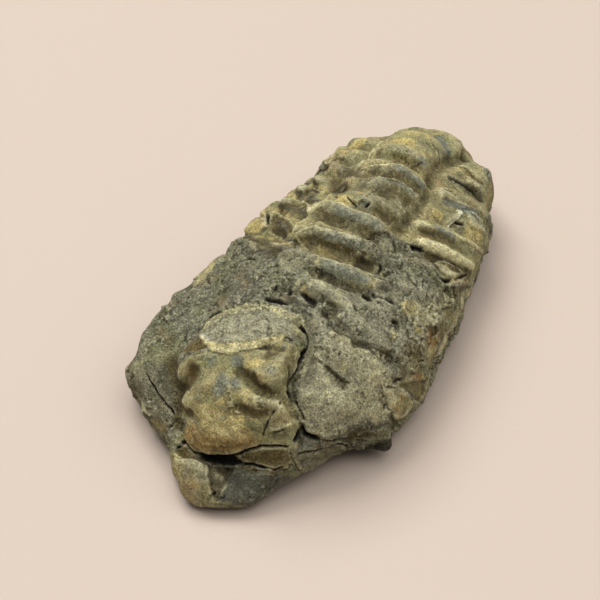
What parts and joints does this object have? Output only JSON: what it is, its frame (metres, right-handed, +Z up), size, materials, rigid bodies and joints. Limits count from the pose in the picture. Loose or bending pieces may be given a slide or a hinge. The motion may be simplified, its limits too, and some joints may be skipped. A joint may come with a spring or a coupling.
{
  "type": "trilobite fossil",
  "caption": "Trilobite fossil lying back up in its piece of rough siltstone, with ringed body, ribbed sides, rounded tail, broken head and flat underside.",
  "frame": {"origin": "centre of the bounding box in plan, on the plane of the flat underside", "axes": "+Z up from the underside to the back of the animal, +Y along the body towards the tail, +X to the right when looking along +Y"},
  "size_m": [0.0476, 0.0924, 0.0257],
  "materials": {
    "siltstone": "matt, gritty grey-olive matrix with smoother ochre, brown and blue-grey fossil"
  },
  "bodies": {
    "root": {"trilobite_fossil": "siltstone"}
  },
  "joints": []
}
